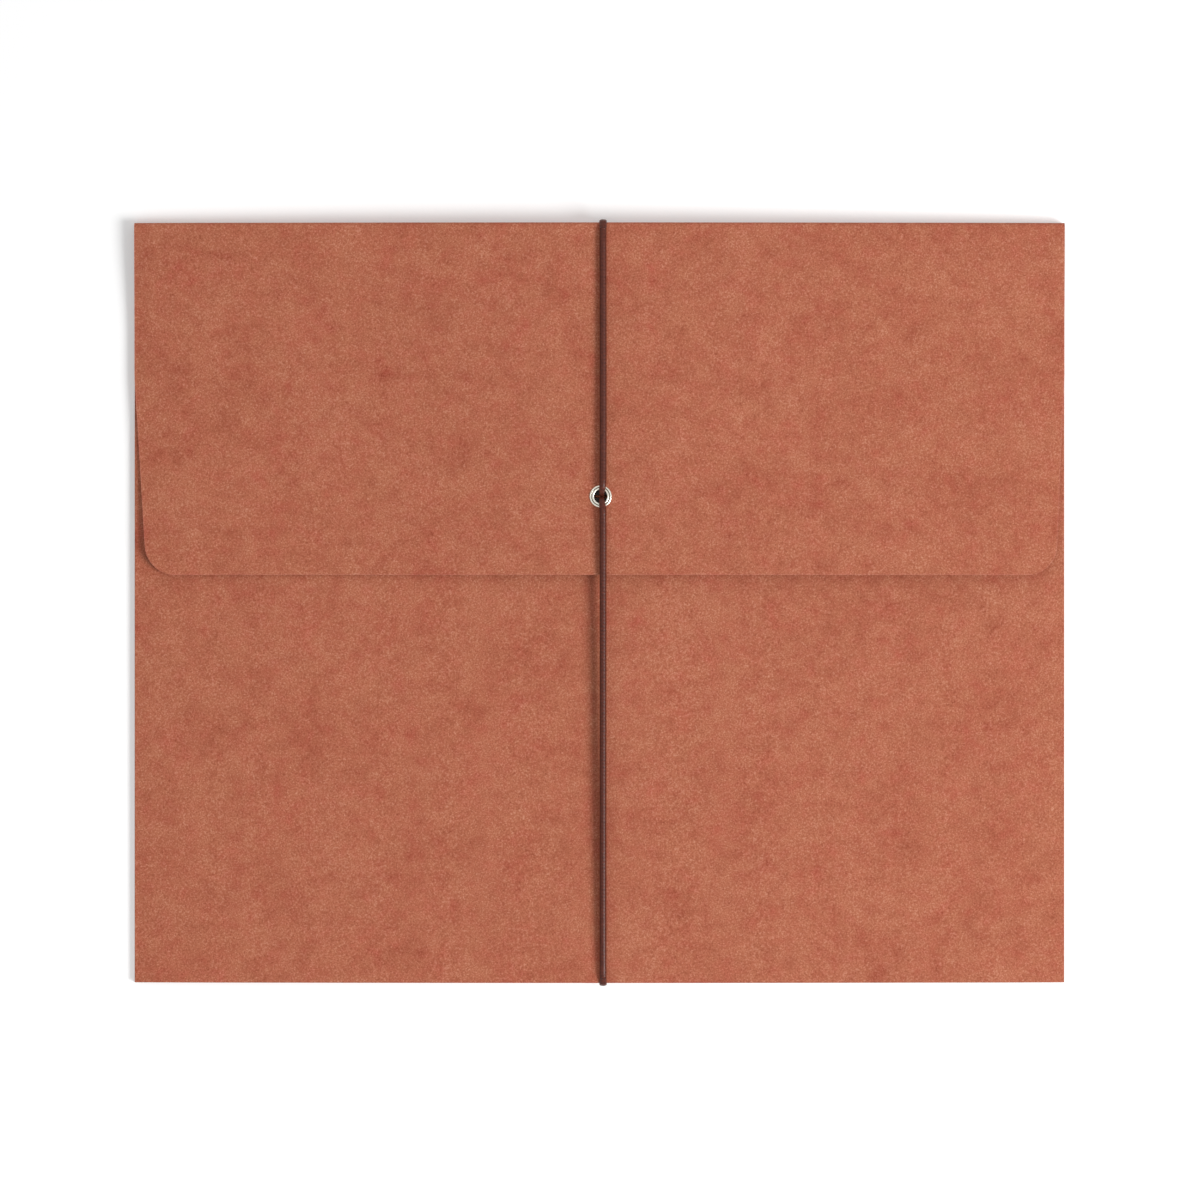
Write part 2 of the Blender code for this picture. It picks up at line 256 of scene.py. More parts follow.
def add_piece(name, points, faces, *materials):
    """A smooth-shaded mesh object at the origin, from points and faces."""
    mesh = bpy.data.meshes.new(name)
    mesh.from_pydata(points.reshape(-1, 3).tolist(), [], list(map(list, faces)))
    mesh.shade_smooth()
    for material in materials:
        mesh.materials.append(material)
    piece = bpy.data.objects.new(name, mesh)
    bpy.context.scene.collection.objects.link(piece)
    return piece


def thicken(piece, thickness, bevel):
    """Give a sheet its thickness to both sides, with its own material and a small bevel on the cut edge."""
    solid = piece.modifiers.new("thickness", "SOLIDIFY")
    solid.thickness = thickness
    solid.offset = 0.0
    solid.use_even_offset = True
    solid.material_offset_rim = 1
    edge = piece.modifiers.new("cut edge", "BEVEL")
    edge.width = bevel
    edge.segments = 2
    edge.limit_method = "ANGLE"
    edge.angle_limit = math.radians(50)
    edge.harden_normals = True


def lay_down(piece, drop):
    """Lower each point by drop(x, y, z).
    """
    points = np.empty(3 * len(piece.data.vertices))
    piece.data.vertices.foreach_get("co", points)
    points = points.reshape(-1, 3)
    points[:, 2] -= drop(*points.T)
    piece.data.vertices.foreach_set("co", points.ravel())
    piece.data.update()


def steps(start, end, step):
    """Evenly spaced values from start to end, both included, about a step apart."""
    return np.linspace(start, end, max(2, round(abs(end - start) / step) + 1))


def across(path, columns):
    """Carry a (y, z) path along x: point (i, j) is the path's point i at column j."""
    points = np.empty((len(path), len(columns), 3))
    points[:, :, 0] = columns
    points[:, :, 1:] = path[:, None, :]
    return points


def fold_arc(centre, start, end):
    """Points on the fold's arc about a (y, z) centre, from one angle to another, in degrees."""
    turn = np.radians(np.linspace(start, end, fold_rows))
    return centre + fold_radius * np.stack([np.cos(turn), np.sin(turn)], axis=1)


board_columns = steps(-half_width, half_width, board_step)
lower_fold = np.array([spine_middle_y - fold_radius, back_middle_z + fold_radius])
panel_rows = steps(float(back_low[1]), lower_fold[0], board_step)[:-1]
rear_path = np.concatenate(
    [
        np.stack([panel_rows, np.full_like(panel_rows, back_middle_z)], axis=1),
        fold_arc(lower_fold, -90, 0),
        [[spine_middle_y, (lower_fold[1] + spine_middle_z) / 2], [spine_middle_y, spine_middle_z]],
    ]
)
rear_board = add_piece(
    "rear_board",
    across(rear_path, board_columns),
    grid_faces(len(rear_path), len(board_columns)),
    red_fibre_board,
    cut_board_edge,
)
thicken(rear_board, board, cut_edge_bevel)
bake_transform(rear_board)
lay_down(rear_board, settle)
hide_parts("back_panel", "top_spine")


# Gusset: a strip of tear-resistant red sheet with one inward pleat, round the left, bottom and right sides.
# Flanges glue it to both boards. At the bottom corners the leaves run on past their mitre, side leaves
# under the bottom ones, so that they still meet there when the pleat is pulled open.
leaf_low, leaf_high = node_box("left_rear_leaf")
gusset_fold_x = -float(leaf_low[0])
gusset_fold_y = float(node_box("bottom_rear_leaf")[0, 1])
leaf = float(leaf_high[0] - leaf_low[0])
mouth_y = float(front_high[1])
pleat_turn = next(
    joint["range_deg"][1] for joint in frame["joints"] if joint["name"] == "left_rear_fold"
)

gusset_sheet = 0.22 * MM
glue_flange = 12 * MM
glue_line = 0.02 * MM
leaf_lift = {"left": 0.57 * MM, "right": 0.57 * MM, "bottom": 0.97 * MM}
pleat_height = 1.16 * MM
fold_edge = 0.15 * MM
# The lip is a side leaf's free outer edge. A lap runs on at the corner, and the draw is a share of the droop.
lip_edge, lip_rise, lip_width, lip_lap = 3.5 * MM, 0.25 * MM, 5 * MM, 2.45 * MM
bottom_draw, bottom_lap = 0.97, 0.8 * MM
gusset_columns = 90

gusset_paper = fibre_sheet(
    "tear-resistant gusset sheet", "#66301C", "#AE6A50", "#D19C7D", 0.5, 0.5, 0.62
)


def half_turn(distance, low, high, way):
    """Half circle of (distance, z) points from low to high, bulging outwards (-1) or inwards (+1)."""
    turn = np.radians(np.linspace(-90, 90, fold_rows))
    radius = (high - low) / 2
    away = distance + way * radius * np.cos(turn)
    return np.stack([away, low + radius + radius * np.sin(turn)], axis=1)


def level(start, end, z):
    """A flat run of (distance, z) points."""
    run = steps(start, end, board_step)
    return np.stack([run, np.full_like(run, z)], axis=1)


def gusset_strip(name, side, path, corner_share, corner_lap=0.0, draw=0.0):
    """Carry a path of (distance from the fold, z) along a side of the wallet.

    At each point the strip starts that share of the distance away from the corner line, less the lap.
    The bottom strip is drawn in besides, by a share of its droop.
    """
    distance, z = path.T
    along = np.linspace(0, 1, gusset_columns)
    start = np.maximum(distance, 0) * corner_share + gusset_sheet - corner_lap
    points = np.empty((len(path), gusset_columns, 3))
    points[:, :, 2] = z[:, None]
    if side == "bottom":
        points[:, :, 0] = (2 * along - 1) * (gusset_fold_x - start)[:, None]
        points[:, :, 1] = (gusset_fold_y + distance)[:, None]
        points[:, :, 1] += np.reshape(draw, (-1, 1)) * settle(*np.moveaxis(points, 2, 0))
    else:
        sign = -1 if side == "left" else 1
        points[:, :, 0] = sign * (gusset_fold_x - distance)[:, None]
        points[:, :, 1] = mouth_y + (1 - along) * (gusset_fold_y + start - mouth_y)[:, None]
    piece = add_piece(name, points, grid_faces(len(path), gusset_columns), gusset_paper)
    solid = piece.modifiers.new("thickness", "SOLIDIFY")
    solid.thickness = gusset_sheet
    solid.offset = 0.0
    return piece


flange_z = float(back_high[2]) + glue_line + gusset_sheet / 2
front_flange_z = float(front_low[2]) - glue_line - gusset_sheet / 2
lap_share = math.cos(math.radians(pleat_turn))
for side in ("left", "bottom", "right"):
    rear_z = float(back_high[2]) + leaf_lift[side]
    front_z = rear_z + pleat_height
    rear_turn = (rear_z - flange_z) / 2
    front_turn = (front_flange_z - front_z) / 2
    crease = leaf - pleat_height / 2

    rear_fold = half_turn(fold_edge + rear_turn, flange_z, rear_z, -1)
    rear_flange = level(glue_flange, rear_fold[0, 0], flange_z)[:-1]
    rear_leaf = level(rear_fold[-1, 0], leaf / 2, rear_z)[1:]
    share = np.repeat([1.0, lap_share], [len(rear_flange), len(rear_fold) + len(rear_leaf)])
    rear_pleat = gusset_strip(
        f"{side}_rear_pleat", side, np.concatenate([rear_flange, rear_fold, rear_leaf]), share
    )
    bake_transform(rear_pleat)
    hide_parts(f"{side}_rear_flange", f"{side}_rear_leaf")

    inner = np.concatenate(
        [
            level(leaf / 2, crease, rear_z)[:-1],
            half_turn(crease, rear_z, front_z, 1),
            level(crease, leaf / 2, front_z)[1:],
        ]
    )
    pleat = gusset_strip(f"{side}_pleat_crease", side, inner, lap_share)
    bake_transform(pleat)
    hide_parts(f"{side}_rear_leaf", f"{side}_front_leaf")

    front_fold = half_turn(fold_edge + front_turn, front_z, front_flange_z, -1)
    front_flange = level(front_fold[-1, 0], glue_flange, front_flange_z)
    if side == "bottom":
        front_leaf = level(leaf / 2, front_fold[0, 0], front_z)[:-1]
        outer = np.concatenate([front_leaf, front_fold, front_flange[1:]])
        share = np.repeat([lap_share, 1.0], [len(front_leaf) + len(front_fold), len(front_flange) - 1])
        # Drawn in by a share of its droop, it stays near the board's edge.
        at_fold = np.concatenate(
            [
                np.linspace(0, 1, len(front_leaf)),
                np.linspace(1, 0, len(front_fold)),
                np.zeros(len(front_flange) - 1),
            ]
        )
        front_pleat = gusset_strip(
            "bottom_front_pleat", side, outer, share, bottom_lap * at_fold, bottom_draw * at_fold
        )
        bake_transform(front_pleat)
        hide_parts("bottom_front_leaf", "bottom_front_flange")
    else:
        flange = gusset_strip(f"{side}_front_glue_flange", side, front_flange, 1.0)
        lay_down(flange, settle)
        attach(flange, "front")
        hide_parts(f"{side}_front_flange")
        lip = level(leaf / 2, lip_edge, front_z)
        near_edge = np.clip((lip_edge + lip_width - lip[:, 0]) / lip_width, 0, 1)
        lip[:, 1] += lip_rise * near_edge**2
        lap = lip_lap * np.linspace(0, 1, len(lip))
        front_pleat = gusset_strip(f"{side}_front_pleat", side, lip, lap_share, lap)
    for piece in (rear_pleat, pleat, front_pleat):
        lay_down(piece, settle)
    if side != "bottom":
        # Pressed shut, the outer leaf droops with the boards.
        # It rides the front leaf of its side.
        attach(front_pleat, f"{side}_front")
        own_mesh(front_pleat)
        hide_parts(f"{side}_front_leaf")


# Front board: the pocket's front, a plain rectangle of the same board, cut short below the flap's fold.
# The gusset's front flanges are glued to its back. It droops at the sides with the rest of the wallet.
front_rows = steps(float(front_low[1]), float(front_high[1]), board_step)
front_path = np.stack([front_rows, np.full_like(front_rows, (front_low[2] + front_high[2]) / 2)], axis=1)
front_board = add_piece(
    "front_board",
    across(front_path, board_columns),
    grid_faces(len(front_path), len(board_columns)),
    red_fibre_board,
    cut_board_edge,
)
thicken(front_board, board, cut_edge_bevel)
lay_down(front_board, settle)
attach(front_board, "front")
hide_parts("front_panel")


# Flap board: the same sheet as the rear board, going on over the upper score into the flap, with tapered
# sides, two rounded corners and a punched hole for the eyelet. Behind the eyelet the barbs hold it off
# the front board; its sides bend down to lie on that board.
eyelet_low, eyelet_high = node_box("eyelet")
eyelet_x, eyelet_y = ((eyelet_low + eyelet_high) / 2)[:2].tolist()
flap_end_y = float(flap_low[1])
flap_straight = 52 * MM
left_inset, right_inset = 4.1 * MM, 3.0 * MM
flap_corner_radius, corner_rows = 9.5 * MM, 10
punch_half = 2.4 * MM
lying_clearance = 0.1 * MM
curl_at = np.array([-150, -100, -30, 30, 150]) * MM
curl_height = np.array([1.5, 0.4, 0.4, 2.6, 2.6]) * MM
curl_length = 46 * MM
pale_border, border_rows, border_slot = 0.35 * MM, 3, 2
bend_start, bend_end = 12 * MM, 85 * MM
drape_length = 38 * MM

side_end_y = float(flap_high[1]) - flap_straight
corner_centre_y = flap_end_y + flap_corner_radius
border_turn = math.asin(1 - pale_border / flap_corner_radius)
corner_turn = np.concatenate(
    [
        np.linspace(0, border_turn, corner_rows + 1)[1:],
        np.linspace(border_turn, math.pi / 2, border_rows + 1)[1:],
    ]
)


def flap_half_width(y, inset):
    """Half the flap's width at y.

    It is full along the straight sides, falls evenly along the taper, and is round at the corners.
    """
    taper = inset * np.clip((side_end_y - y) / (side_end_y - flap_end_y), 0.0, 1.0)
    below = np.clip((corner_centre_y - y) / flap_corner_radius, 0.0, 1.0)
    return half_width - taper - flap_corner_radius * (1 - np.sqrt(1 - below**2))


def smooth(share):
    """0 below 0, 1 above 1, and a smooth S between."""
    share = np.clip(share, 0.0, 1.0)
    return share * share * (3 - 2 * share)


def flap_drop(x, y, z):
    """The wallet's own droop, and the bend from the raised middle and the fold to the sides lying down.

    Its lower edge curls up again at the left corner, and more along its right half.
    """
    curl = smooth((flap_end_y + curl_length - y) / curl_length)
    clearance = lying_clearance + (np.interp(x, curl_at, curl_height) - lying_clearance) * curl
    sideways = smooth((np.abs(x - eyelet_x) - bend_start) / (bend_end - bend_start))
    from_fold = smooth((spine_middle_y - fold_radius - y) / drape_length)
    return settle(x, y, z) + (flap_low[2] - front_high[2] - clearance) * sideways * from_fold


upper_fold = np.array([spine_middle_y - fold_radius, flap_middle_z - fold_radius])
flap_rows = np.concatenate(
    [
        steps(upper_fold[0], eyelet_y + punch_half, board_step)[1:],
        steps(eyelet_y + punch_half, eyelet_y - punch_half, board_step)[1:],
        steps(eyelet_y - punch_half, corner_centre_y, board_step)[1:],
        corner_centre_y - flap_corner_radius * np.sin(corner_turn),
    ]
)
flap_path = np.concatenate(
    [
        [[spine_middle_y, spine_middle_z], [spine_middle_y, (upper_fold[1] + spine_middle_z) / 2]],
        fold_arc(upper_fold, 0, 90),
        np.stack([flap_rows, np.full_like(flap_rows, flap_middle_z)], axis=1),
    ]
)
border_x = half_width - pale_border
flap_columns = np.sort(
    np.append(board_columns, [-border_x, border_x, eyelet_x - punch_half, eyelet_x + punch_half])
)
flap_points = across(flap_path, flap_columns)
left_share, right_share = (
    flap_half_width(flap_path[:, :1], inset) / half_width for inset in (left_inset, right_inset)
)
flap_points[:, :, 0] *= np.where(flap_columns < 0, left_share, right_share)
flap_faces = grid_faces(len(flap_path), len(flap_columns))
face_middles = flap_points.reshape(-1, 3)[flap_faces].mean(axis=1)
from_eyelet = np.abs(face_middles[:, :2] - [eyelet_x, eyelet_y]).max(axis=1)
punched = (from_eyelet < punch_half) & (face_middles[:, 2] > upper_fold[1])
# A painted highlight: the face is a little paler along the flap's cut edge.
painted_highlight_border = fibre_sheet(
    "fibre board with painted highlight border", "#874030", "#C1785E", "#EAB295", 0.55, 0.5, 0.7
)
flap_board = add_piece(
    "flap_board",
    flap_points,
    flap_faces[~punched],
    red_fibre_board,
    cut_board_edge,
    painted_highlight_border,
    cut_board_edge,
)
# The paler material, a painted highlight, goes on the flap's side columns and lowest rows.
on_border = np.zeros((len(flap_path) - 1, len(flap_columns) - 1), dtype=int)
on_border[len(flap_path) - len(flap_rows) :, [0, -1]] = border_slot
on_border[-border_rows:] = border_slot
flap_board.data.polygons.foreach_set("material_index", on_border.ravel()[~punched])
thicken(flap_board, board, cut_edge_bevel)
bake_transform(flap_board)
lay_down(flap_board, flap_drop)
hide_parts("flap_panel")


# Eyelet and washer: a nickel-plated brass eyelet, pressed from sheet and pushed through the flap from
# outside. Its tail is rolled over a thin washer behind the flap. The rim has an inner bead and a flatter
# outer one, with a groove between them.
washer_low, washer_high = node_box("eyelet_washer")
flap_top = float(flap_high[2])
hole_radius = 2.15 * MM
barrel_radius = 2.5 * MM
rim_radius = 3.75 * MM
rim_height = 0.72 * MM
tail_radius = 3.3 * MM
washer_round, washer_play = 0.1 * MM, 0.1 * MM
haze_size = 0.4 * MM
ring_sides = 72
bead_steps = 8
groove_middle, groove_half = 0.86 * MM, 0.3 * MM

nickel_plate, tree, output = new_material("nickel-plated brass")
place = add_node(tree, "ShaderNodeTexCoord").outputs["Object"]
# Plating picks up fine handling scratches and a slight haze, 0.4 mm across and finer.
# The groove between the beads is darkened: painted shade.
haze = add_node(
    tree,
    "ShaderNodeTexNoise",
    {"Vector": place, "Scale": 1 / haze_size, "Detail": 3.0, "Roughness": 0.6},
)
polish = add_node(
    tree,
    "ShaderNodeMapRange",
    {"Value": haze.outputs["Fac"], "From Min": 0.3, "From Max": 0.7, "To Min": 0.2, "To Max": 0.36},
)
tone = add_node(
    tree,
    "ShaderNodeMix",
    {0: haze.outputs["Fac"], 6: srgb("#CFC9BB"), 7: srgb("#F4EFE3")},
    data_type="RGBA",
)
apart = add_node(tree, "ShaderNodeSeparateXYZ", {"Vector": place})
level_place = add_node(tree, "ShaderNodeCombineXYZ", {"X": apart.outputs["X"], "Y": apart.outputs["Y"]})
from_axis = add_node(
    tree,
    "ShaderNodeVectorMath",
    {0: level_place.outputs["Vector"], 1: (eyelet_x, eyelet_y, 0)},
    operation="DISTANCE",
)
from_groove = add_node(
    tree,
    "ShaderNodeMath",
    {0: from_axis.outputs["Value"], 1: hole_radius + groove_middle},
    operation="SUBTRACT",
)
from_groove = add_node(tree, "ShaderNodeMath", {0: from_groove.outputs[0]}, operation="ABSOLUTE")
painted_groove_shade = add_node(
    tree,
    "ShaderNodeMapRange",
    {
        "Value": from_groove.outputs[0],
        "From Min": 0.0,
        "From Max": groove_half,
        "To Min": 0.9,
        "To Max": 0.0,
    },
    interpolation_type="SMOOTHSTEP",
)
# Painted shade: the dark grey-brown darkens the groove between the two beads.
tone = add_node(
    tree,
    "ShaderNodeMix",
    {0: painted_groove_shade.outputs["Result"], 6: tone.outputs[2], 7: srgb("#5E544A")},
    data_type="RGBA",
)
shader = add_node(
    tree,
    "ShaderNodeBsdfPrincipled",
    {"Base Color": tone.outputs[2], "Metallic": 1.0, "Roughness": polish.outputs["Result"]},
)
tree.links.new(shader.outputs["BSDF"], output.inputs["Surface"])


def smooth_path(knots, per_span):
    """Points on a centripetal Catmull-Rom curve: knots are set apart in t by the root of their distance.

    In each span between knots b and c, straight lines in t through a, b, c and d are mixed by t,
    twice over.
    """
    knots = np.asarray(knots, float)
    knots = np.concatenate([[2 * knots[0] - knots[1]], knots, [2 * knots[-1] - knots[-2]]])
    a, b, c, d = (knots[k : len(knots) - 3 + k, None, :] for k in range(4))
    gaps = [np.linalg.norm(q - p, axis=2, keepdims=True) ** 0.5 for p, q in ((a, b), (b, c), (c, d))]
    t1, t2, t3 = np.cumsum(gaps, axis=0)
    t = t1 + (t2 - t1) * np.linspace(0, 1, per_span, endpoint=False)[None, :, None]
    ab = a + (b - a) * t / t1
    bc = b + (c - b) * (t - t1) / (t2 - t1)
    cd = c + (d - c) * (t - t2) / (t3 - t2)
    near = ab + (bc - ab) * t / t2
    far = bc + (cd - bc) * (t - t1) / (t3 - t1)
    curve = near + (far - near) * (t - t1) / (t2 - t1)
    return np.concatenate([curve.reshape(-1, knots.shape[1]), knots[-2:-1]])


def turned(name, profile, *materials):
    """Turn a closed (radius, z) profile round the eyelet's centre line."""
    turn = np.linspace(0, 2 * np.pi, ring_sides, endpoint=False)
    radius, z = np.asarray(profile).T
    points = np.empty((len(radius), ring_sides, 3))
    points[:, :, 0] = eyelet_x + radius[:, None] * np.cos(turn)
    points[:, :, 1] = eyelet_y + radius[:, None] * np.sin(turn)
    points[:, :, 2] = z[:, None]
    return add_piece(name, points, grid_faces(len(radius), ring_sides, True, True)[:, ::-1], *materials)


rim_top = flap_top + rim_height
tail_low = float(eyelet_low[2])
rim_profile = smooth_path(
    [
        # The bore, up to the inner bead.
        (hole_radius, tail_low + 0.4 * MM),
        (hole_radius, rim_top - 0.45 * MM),
        (hole_radius + 0.12 * MM, rim_top - 0.12 * MM),
        (hole_radius + 0.42 * MM, rim_top),
        # The groove, and the outer bead down to the flap.
        (hole_radius + 0.7 * MM, rim_top - 0.18 * MM),
        (hole_radius + groove_middle, rim_top - 0.36 * MM),
        (hole_radius + 1.06 * MM, rim_top - 0.2 * MM),
        (rim_radius - 0.2 * MM, rim_top - 0.26 * MM),
        (rim_radius, rim_top - 0.55 * MM),
        (rim_radius - 0.12 * MM, flap_top),
    ],
    bead_steps,
)
tail_profile = smooth_path(
    [
        # The barrel, through the flap.
        (barrel_radius, flap_top),
        (barrel_radius, tail_low + 0.45 * MM),
        # The tail, rolled outwards and back in to the bore.
        (tail_radius - 0.15 * MM, tail_low + 0.32 * MM),
        (tail_radius, tail_low + 0.15 * MM),
        (tail_radius - 0.2 * MM, tail_low),
        (hole_radius + 0.35 * MM, tail_low),
        (hole_radius + 0.06 * MM, tail_low + 0.14 * MM),
    ],
    bead_steps,
)
eyelet = turned("eyelet_rim", np.concatenate([rim_profile, tail_profile]), nickel_plate)
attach(eyelet, "flap")
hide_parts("eyelet")

washer_inner, washer_outer = barrel_radius + washer_play, float(washer_high[0]) - eyelet_x
washer_bottom, washer_top = float(washer_low[2]), float(washer_high[2])
washer = turned(
    "washer",
    [
        (washer_inner, washer_top - washer_round),
        (washer_inner + washer_round, washer_top),
        (washer_outer - washer_round, washer_top),
        (washer_outer, washer_top - washer_round),
        (washer_outer, washer_bottom + washer_round),
        (washer_outer - washer_round, washer_bottom),
        (washer_inner + washer_round, washer_bottom),
        (washer_inner, washer_bottom + washer_round),
    ],
    nickel_plate,
)
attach(washer, "flap")
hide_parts("eyelet_washer")


# Barbs: the elastic's two ends behind the eyelet, each a bar of steel strip that is crimped round the
# cord. They are longer than the hole, so that the pull of the cord holds them flat across it. Their
# dark brown colour is painted shade, so that the hole in the eyelet reads dark.
barb_rows, barb_sides = 49, 28
barb_end_power, barb_section_power, barb_tip = 6.0, 0.55, 0.02
crimp_width, crimp_depth = 1.5 * MM, 0.16
line_spacing, line_stretch = 0.12 * MM, 40

crimp_steel, tree, output = new_material("dark steel strip with painted shade")
place = add_node(tree, "ShaderNodeTexCoord").outputs["Object"]
# Cold-rolled strip has drawing lines along its length, about 0.02 mm apart. They are drawn
# 0.12 mm apart, so that they can be seen.
drawn = add_node(
    tree, "ShaderNodeMapping", {"Vector": place, "Scale": (line_stretch, 1, 1)}, vector_type="TEXTURE"
)
lines = add_node(
    tree,
    "ShaderNodeTexNoise",
    {"Vector": drawn.outputs["Vector"], "Scale": 1 / line_spacing, "Detail": 2.0},
)
polish = add_node(
    tree,
    "ShaderNodeMapRange",
    {"Value": lines.outputs["Fac"], "From Min": 0.3, "From Max": 0.7, "To Min": 0.35, "To Max": 0.55},
)
# Painted shade: the dark brown keeps the eyelet's hole dark.
tone = add_node(
    tree,
    "ShaderNodeMix",
    {0: lines.outputs["Fac"], 6: srgb("#1C120F"), 7: srgb("#3A2822")},
    data_type="RGBA",
)
shader = add_node(
    tree,
    "ShaderNodeBsdfPrincipled",
    {"Base Color": tone.outputs[2], "Roughness": polish.outputs["Result"], "Specular IOR Level": 0.3},
)
tree.links.new(shader.outputs["BSDF"], output.inputs["Surface"])

# Rings along x: each is a rounded rectangle, which shrinks to a tip at both ends and is narrowed by the
# crimp in the middle.
for name in ("upper_barb", "lower_barb"):
    low, high = node_box(name)
    middle, half = (low + high) / 2, (high - low) / 2
    share = np.sin(np.linspace(-np.pi / 2, np.pi / 2, barb_rows))
    end = np.sqrt(np.clip(1 - np.abs(share) ** barb_end_power, 0.0, 1.0))
    crimp = crimp_depth * np.exp(-((share * half[0] / crimp_width) ** 2))
    turn = np.linspace(0, 2 * np.pi, barb_sides, endpoint=False)
    ring_y = np.sign(np.cos(turn)) * np.abs(np.cos(turn)) ** barb_section_power
    ring_z = np.sign(np.sin(turn)) * np.abs(np.sin(turn)) ** barb_section_power
    points = np.empty((barb_rows, barb_sides, 3))
    points[:, :, 0] = (middle[0] + share * half[0])[:, None]
    points[:, :, 1] = middle[1] + half[1] * ((end * (1 - crimp))[:, None] * ring_y)
    points[:, :, 2] = middle[2] + half[2] * (np.maximum(end, barb_tip)[:, None] * ring_z)
    faces = grid_faces(barb_rows, barb_sides, False, True)
    barb = add_piece(name + "_crimp", points, faces, crimp_steel)
    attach(barb, "flap")
    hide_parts(name)


# Elastic: one round cord, a bundle of rubber threads in a braided dark brown cover with a satin face.
# Both ends go through the eyelet; it runs up over the fold, down the back and up over the bottom edge.
# Its pull flattens it where it turns over the board edges, and narrows it in the eyelet.
cord_radius = 1.15 * MM
cord_edge_wide, cord_edge_thick = 1.25 * MM, 0.52 * MM
cord_neck = 0.88 * MM
cord_step, cord_sides, knot_steps = 0.6 * MM, 24, 40
neck_x, neck_y = 0.75 * MM, 0.95 * MM
rim_lift = 0.25 * MM
edge_reach, edge_run, flat_run = 0.52 * MM, 1.6 * MM, 4 * MM
flap_edge_rest = flap_end_y - 1.2 * MM
fold_rest = 12 * MM
table_gap = 0.02 * MM
turn_start = 2 * MM
cover_threads, cover_pitch = 10, 2.4 * MM
fuzz_size = 0.8 * MM

top_y, bottom_y = float(back_high[1]), float(back_low[1])
front_top_z = float(front_high[2])
lying = flap_top + cord_radius
riding = rim_top + cord_neck
back_z = float(back_low[2])
under = back_z / 2
pressed = under - table_gap
barb_top = float(node_box("upper_barb")[1, 2])


def half_loop(way, edge_y, edge_z, rest_y):
    """The route's knots from the eyelet over an edge of the wallet to its back.

    A knot is (x, y, z, half width, half thickness). The cord goes straight from the eyelet's rim to the
    flap at rest_y, and straight from there to the edge.
    """
    full = (cord_radius, cord_radius)
    bent = (cord_edge_wide, cord_edge_thick)
    neck = (cord_neck, cord_neck)
    outside = edge_y + way * edge_reach
    before = edge_y - way * edge_run
    off_rim = riding + rim_lift
    return [
        # Up from the barb through the hole, and over the rim.
        (neck_x, eyelet_y + way * neck_y, barb_top, *neck),
        (neck_x, eyelet_y + way * neck_y, flap_top, *neck),
        (neck_x, eyelet_y + way * 1.15 * MM, flap_top + 0.7 * MM, *neck),
        (neck_x + 0.1 * MM, eyelet_y + way * 2.1 * MM, riding - 0.1 * MM, 1.0 * MM, cord_neck),
        (cord_x - 0.1 * MM, eyelet_y + way * 3.8 * MM, off_rim, *full),
        # Down to the flap, and on to the edge.
        (cord_x, eyelet_y + way * 9 * MM, lying + 0.8 * (off_rim - lying), *full),
        (cord_x, rest_y, lying, *full),
        (cord_x, before - way * flat_run, edge_z + cord_radius - table_gap, *full),
        # Flattened round the edge.
        (cord_x, before, edge_z + 0.8 * MM, 1.15 * MM, 0.8 * MM),
        (cord_x, edge_y + way * 0.1 * MM, edge_z + 0.05 * MM, *bent),
        (cord_x, outside, edge_z - 1.2 * MM, *bent),
        (cord_x, outside, (edge_z + back_z) / 2, *bent),
        (cord_x, outside, back_z + 0.8 * MM, *bent),
        (cord_x, edge_y, back_z - 0.45 * MM, *bent),
        # Pressed between the back and the table.
        (cord_x, before, under + 0.2 * MM, 1.15 * MM, 0.9 * MM),
        (cord_x, before - way * flat_run, under, cord_radius, pressed),
    ]


upper = half_loop(1, top_y, flap_top, top_y - fold_rest)
lower = half_loop(-1, bottom_y, front_top_z, flap_edge_rest)
back_knot = (cord_x, 0.0, under, cord_radius, pressed)
loop = smooth_path(np.array([*upper, back_knot, *lower[::-1]]), knot_steps)
run = np.concatenate([[0], np.cumsum(np.linalg.norm(np.diff(loop[:, :3], axis=0), axis=1))])
even = steps(0, run[-1], cord_step)
loop = np.stack([np.interp(even, run, column) for column in loop.T], axis=1)
loop[:, 2] = np.maximum(loop[:, 2], loop[:, 4] + table_gap)

braided_elastic, tree, output = new_material("braided elastic cover")
# Two sets of cover threads wind round the cord against each other, 0.3 mm apart.
# They are drawn 0.7 mm apart, so that they show.
cover_map = add_node(tree, "ShaderNodeUVMap", uv_map="cover")
route = add_node(tree, "ShaderNodeSeparateXYZ", {"Vector": cover_map.outputs["UV"]})
waves = []
for way in (1, -1):
    slope = add_node(
        tree,
        "ShaderNodeMath",
        {0: route.outputs["Y"], 1: way * 2 * math.pi / cover_pitch},
        operation="MULTIPLY",
    )
    around = add_node(
        tree,
        "ShaderNodeMath",
        {0: route.outputs["X"], 1: math.pi * cover_threads, 2: slope.outputs[0]},
        operation="MULTIPLY_ADD",
    )
    waves.append(add_node(tree, "ShaderNodeMath", {0: around.outputs[0]}, operation="SINE"))
weave = add_node(
    tree, "ShaderNodeMath", {0: waves[0].outputs[0], 1: waves[1].outputs[0]}, operation="MULTIPLY"
)
place = add_node(tree, "ShaderNodeTexCoord").outputs["Object"]
fuzz = add_node(tree, "ShaderNodeTexNoise", {"Vector": place, "Scale": 1 / fuzz_size, "Detail": 2.0})
shade = add_node(
    tree,
    "ShaderNodeMath",
    {0: weave.outputs[0], 1: 0.18, 2: fuzz.outputs["Fac"]},
    operation="MULTIPLY_ADD",
)
tone = add_node(
    tree,
    "ShaderNodeMix",
    {0: shade.outputs[0], 6: srgb("#371610"), 7: srgb("#6F3527")},
    data_type="RGBA",
)
bump = add_node(
    tree, "ShaderNodeBump", {"Height": weave.outputs[0], "Strength": 0.35, "Distance": 0.05 * MM}
)
shader = add_node(
    tree,
    "ShaderNodeBsdfPrincipled",
    {
        "Base Color": tone.outputs[2],
        "Roughness": 0.32,
        "Specular IOR Level": 0.22,
        "Normal": bump.outputs["Normal"],
    },
)
